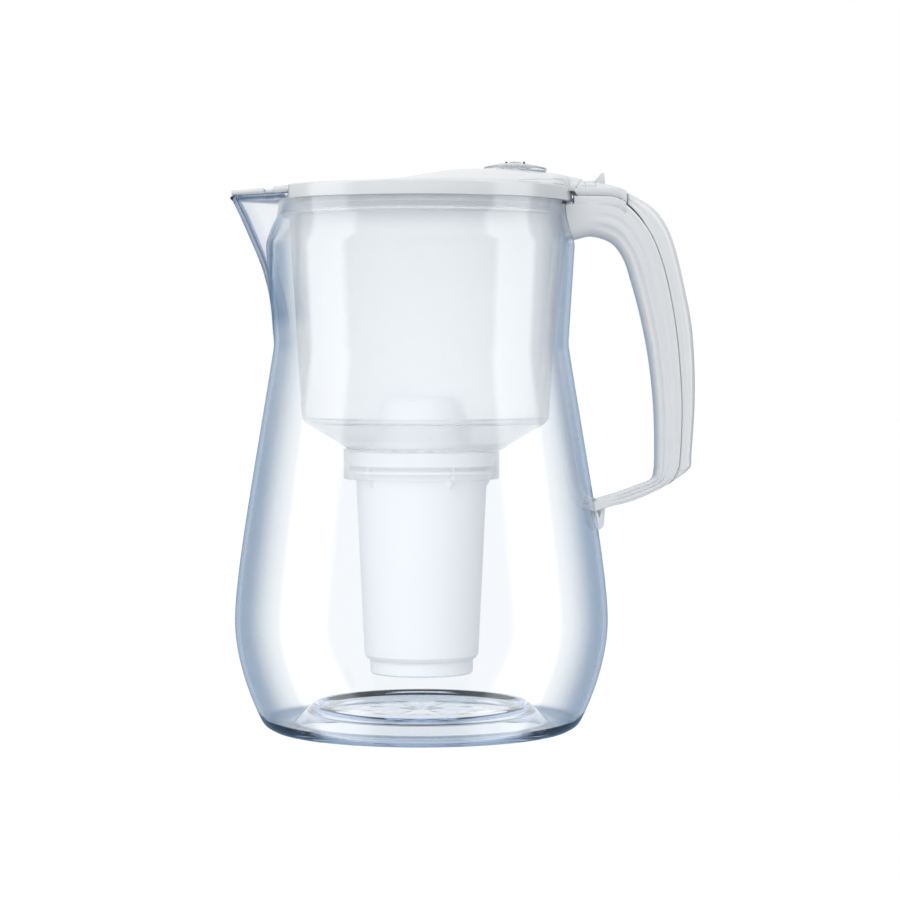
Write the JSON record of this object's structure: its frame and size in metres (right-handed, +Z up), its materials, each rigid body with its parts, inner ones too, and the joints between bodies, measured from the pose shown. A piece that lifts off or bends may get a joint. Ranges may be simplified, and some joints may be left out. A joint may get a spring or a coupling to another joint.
{
  "type": "water filter pitcher",
  "caption": "Clear pear-shaped water filter pitcher with flip lid, spout flap, dial, lift-out funnel, screw-in cartridge and white loop handle.",
  "frame": {"origin": "jug's axis on the plane of the foot ring", "axes": "+Z up along the jug's axis, spout towards -X, handle towards +X"},
  "size_m": [0.2218, 0.179, 0.2716],
  "materials": {
    "clear_jug": "clear, faintly blue",
    "frosted_clear": "translucent",
    "clear_dial": "clear",
    "white_gloss": "gloss",
    "white_satin": "satin",
    "cartridge_white": "satin",
    "scale_plate": "satin",
    "seal_rubber": "matt",
    "felt": "felt",
    "media": "granular"
  },
  "bodies": {
    "jug": {"jug_body": "clear_jug", "handle_front": "white_satin", "handle_rear_cover": "white_gloss"},
    "funnel_body": {"funnel": "frosted_clear"},
    "lid": {"lid_frame": "white_gloss", "spout_flap_pin": "white_satin", "flap_hinge_pin": "white_satin"},
    "flap": {"lid_flap": "white_gloss", "thumb_lever": "white_satin", "indicator_scale": "scale_plate", "indicator_axle": "white_satin"},
    "spout_cover": {"spout_flap": "white_gloss"},
    "dial": {"indicator_dial": "clear_dial"},
    "seal": {"cartridge_seal": "seal_rubber"},
    "cartridge": {"cartridge_cup": "cartridge_white", "cartridge_cap": "cartridge_white", "cartridge_base": "cartridge_white", "top_screen": "cartridge_white", "upper_pad": "felt", "filter_media": "media", "lower_pad": "felt", "bottom_screen": "cartridge_white"}
  },
  "joints": [
    {"name": "funnel_lift", "type": "slide", "parent": "jug", "child": "funnel_body", "axis": [0, 0, 1], "range_m": [0, 0.245]},
    {"name": "lid_lift", "type": "slide", "parent": "funnel_body", "child": "lid", "axis": [0, 0, 1], "range_m": [0, 0.04]},
    {"name": "flap_hinge", "type": "hinge", "parent": "lid", "child": "flap", "pos_m": [0.0796, 0, 0.25921], "axis": [0, 1, 0], "range_deg": [0, 65]},
    {"name": "spout_hinge", "type": "hinge", "parent": "lid", "child": "spout_cover", "pos_m": [-0.0718, 0, 0.2556], "axis": [0, 1, 0], "range_deg": [0, 70]},
    {"name": "dial_turn", "type": "hinge", "parent": "flap", "child": "dial", "pos_m": [0.0449, 0, 0.26677], "axis": [0.0209, 0, 0.9998], "continuous": true},
    {"name": "cartridge_drop", "type": "slide", "parent": "funnel_body", "child": "seal", "axis": [0, 0, -1], "range_m": [0, 0.012]},
    {"name": "cartridge_turn", "type": "hinge", "parent": "seal", "child": "cartridge", "pos_m": [0, 0, 0.12], "axis": [0, 0, -1], "range_deg": [0, 540]}
  ],
  "couplings": [
    {"joint": "cartridge_drop", "follows": "cartridge_turn", "m_per_rad": 0.0012732}
  ]
}
